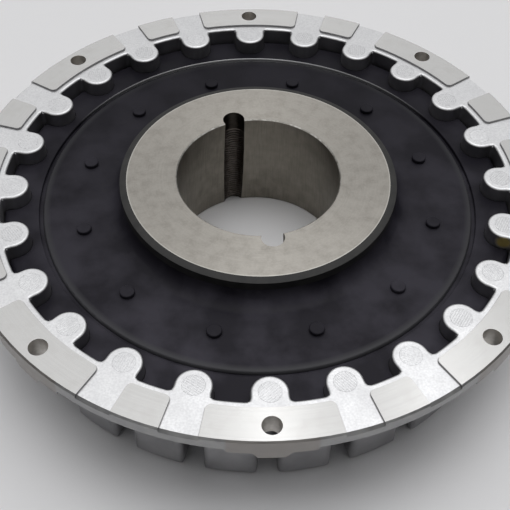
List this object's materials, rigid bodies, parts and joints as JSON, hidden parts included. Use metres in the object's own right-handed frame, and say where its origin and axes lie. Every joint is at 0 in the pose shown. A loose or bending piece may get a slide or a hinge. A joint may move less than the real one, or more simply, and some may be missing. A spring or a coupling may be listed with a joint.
{
  "type": "flexible flywheel coupling",
  "caption": "Flexible drive coupling: a cast ring with cups and fingers bolts to a flywheel and holds a toothed rubber disc bonded to a taper-bored hub.",
  "frame": {"origin": "on the shaft axis, on the surface that the hub and the cups stand on", "axes": "+Z along the shaft axis towards the flywheel side, -Y through one flywheel bolt hole"},
  "size_m": [0.3524, 0.3524, 0.0762],
  "materials": {
    "cast_aluminium": "die-cast, with machined pads",
    "moulded_rubber": "satin moulded",
    "turned_steel": "turned and ground"
  },
  "bodies": {
    "root": {"outer_ring": "cast_aluminium", "rubber_element": "moulded_rubber", "hub": "turned_steel"}
  },
  "joints": []
}
